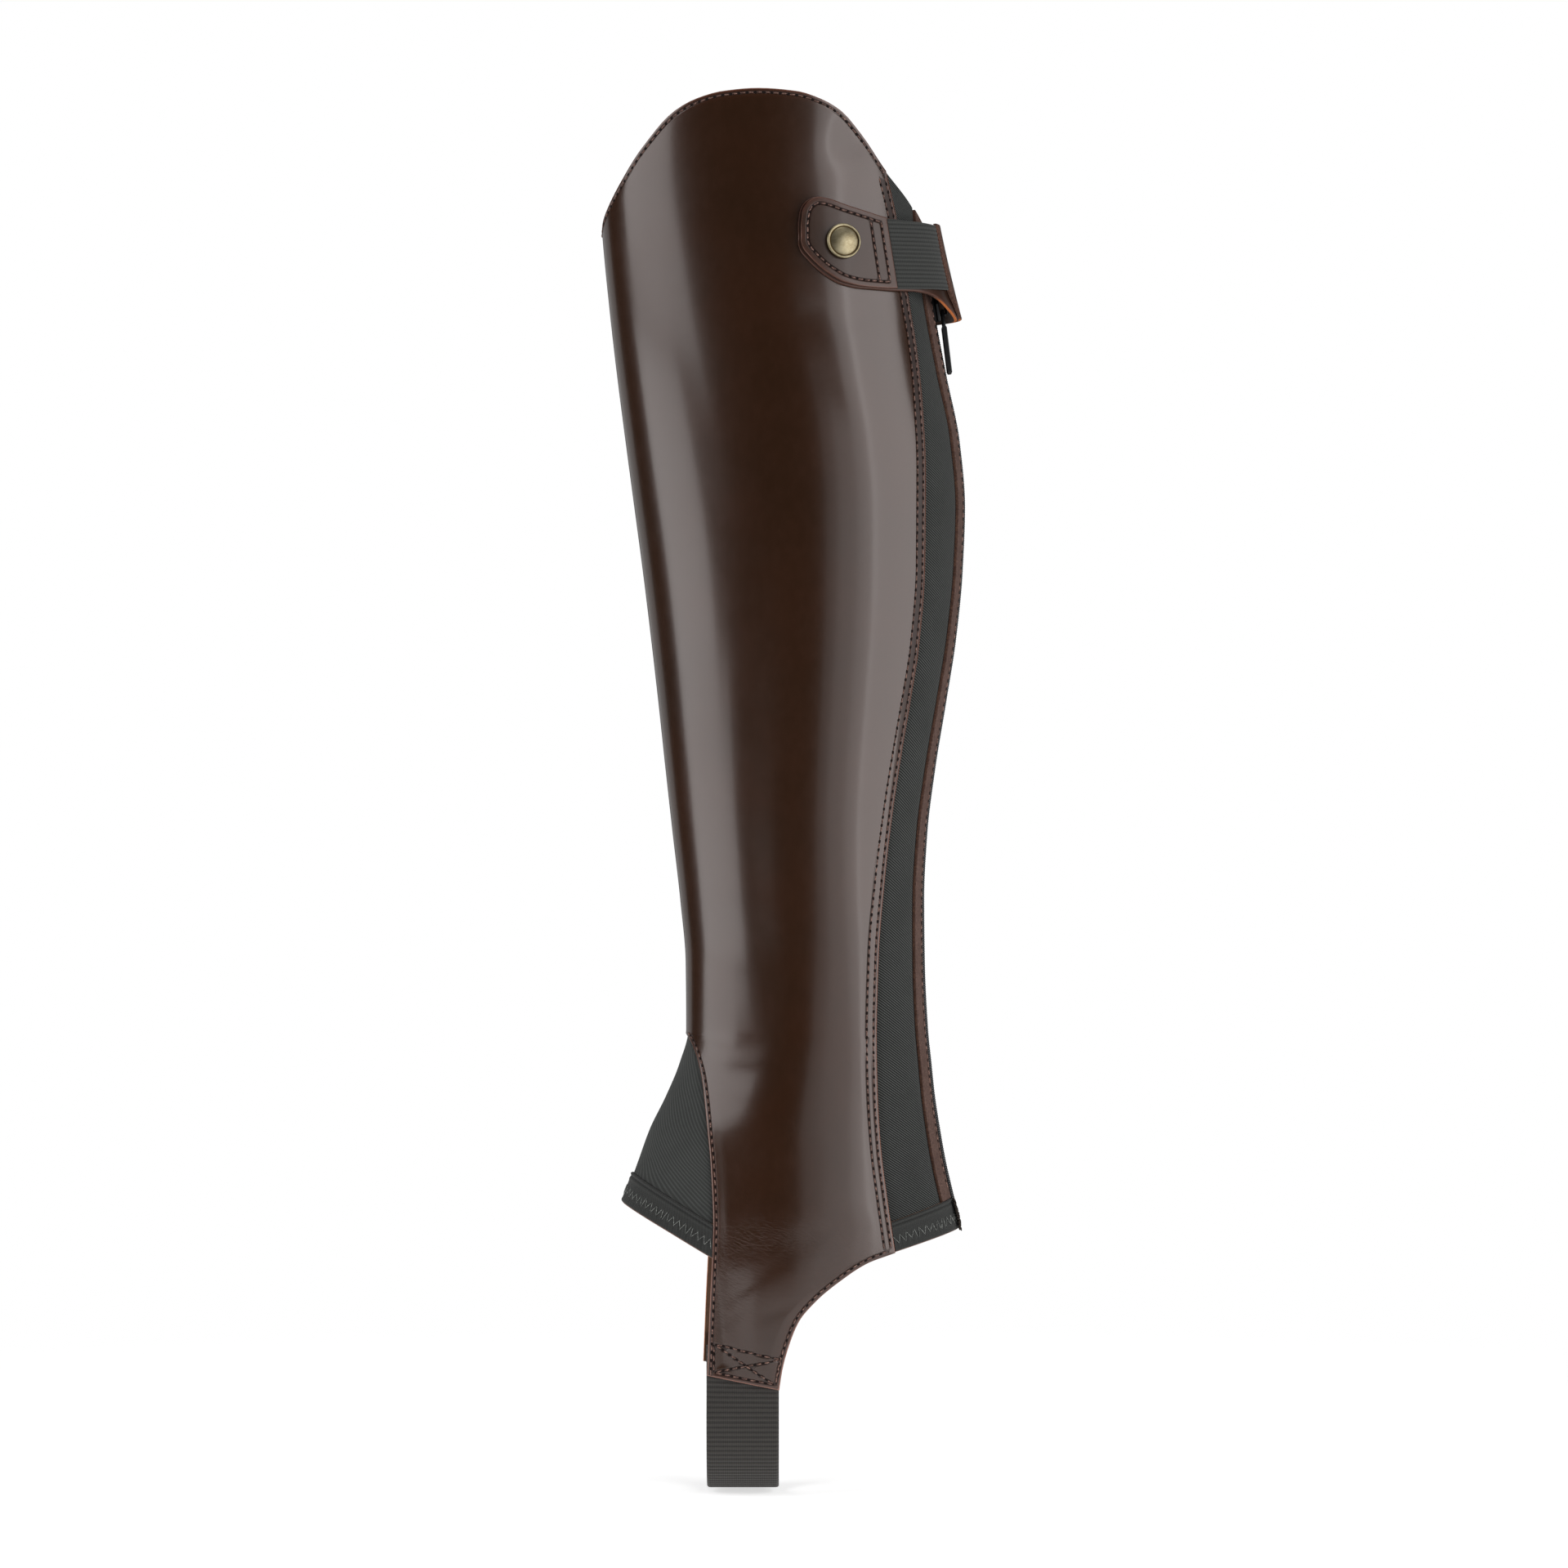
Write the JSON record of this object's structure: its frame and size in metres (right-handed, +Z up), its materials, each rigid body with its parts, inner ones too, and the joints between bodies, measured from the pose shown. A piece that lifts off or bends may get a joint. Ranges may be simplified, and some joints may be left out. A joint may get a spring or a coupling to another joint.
{
  "type": "leather half chap",
  "caption": "Left half chap: a smooth brown leather gaiter, worn shape and hollow, with a stretch back, back zip, snap strap and an elastic under the boot.",
  "frame": {"origin": "middle of the calf, inside the hollow, where the wearer's leg holds the half chap", "axes": "+Z up the leg, -X towards the shin, +X towards the zip, -Y towards the outer side of the left leg"},
  "size_m": [0.1513, 0.1047, 0.5774],
  "materials": {
    "brown_leather": "smooth glossy dark brown",
    "black_stretch": "matt elastic twill",
    "black_webbing": "matt ribbed elastic",
    "black_binding": "matt elastic binding",
    "black_tape": "matt woven zip tape",
    "black_metal": "black lacquered zip parts",
    "aged_brass": "antique brass, brushed"
  },
  "bodies": {
    "chap": {"outer_panel": "brown_leather", "inner_panel": "brown_leather", "zip_facing": "brown_leather", "snap_tab": "brown_leather", "strap_backing": "brown_leather", "strap_base": "brown_leather", "stretch_panel": "black_stretch", "ankle_gusset": "black_stretch", "gusset_hem": "black_binding", "heel_hem": "black_binding", "tab_elastic": "black_webbing", "stirrup_elastic": "black_webbing", "zip_tape_outer": "black_tape", "zip_tape_inner": "black_tape", "zip_chain": "black_metal", "zip_slider": "black_metal", "snap_cap": "aged_brass"},
    "zip_pull": {"zip_pull": "black_metal"}
  },
  "joints": [
    {"name": "pull_hinge", "type": "hinge", "parent": "chap", "child": "zip_pull", "pos_m": [0.06051, 0, 0.07447], "axis": [0, -1, 0], "range_deg": [0, 20]}
  ]
}
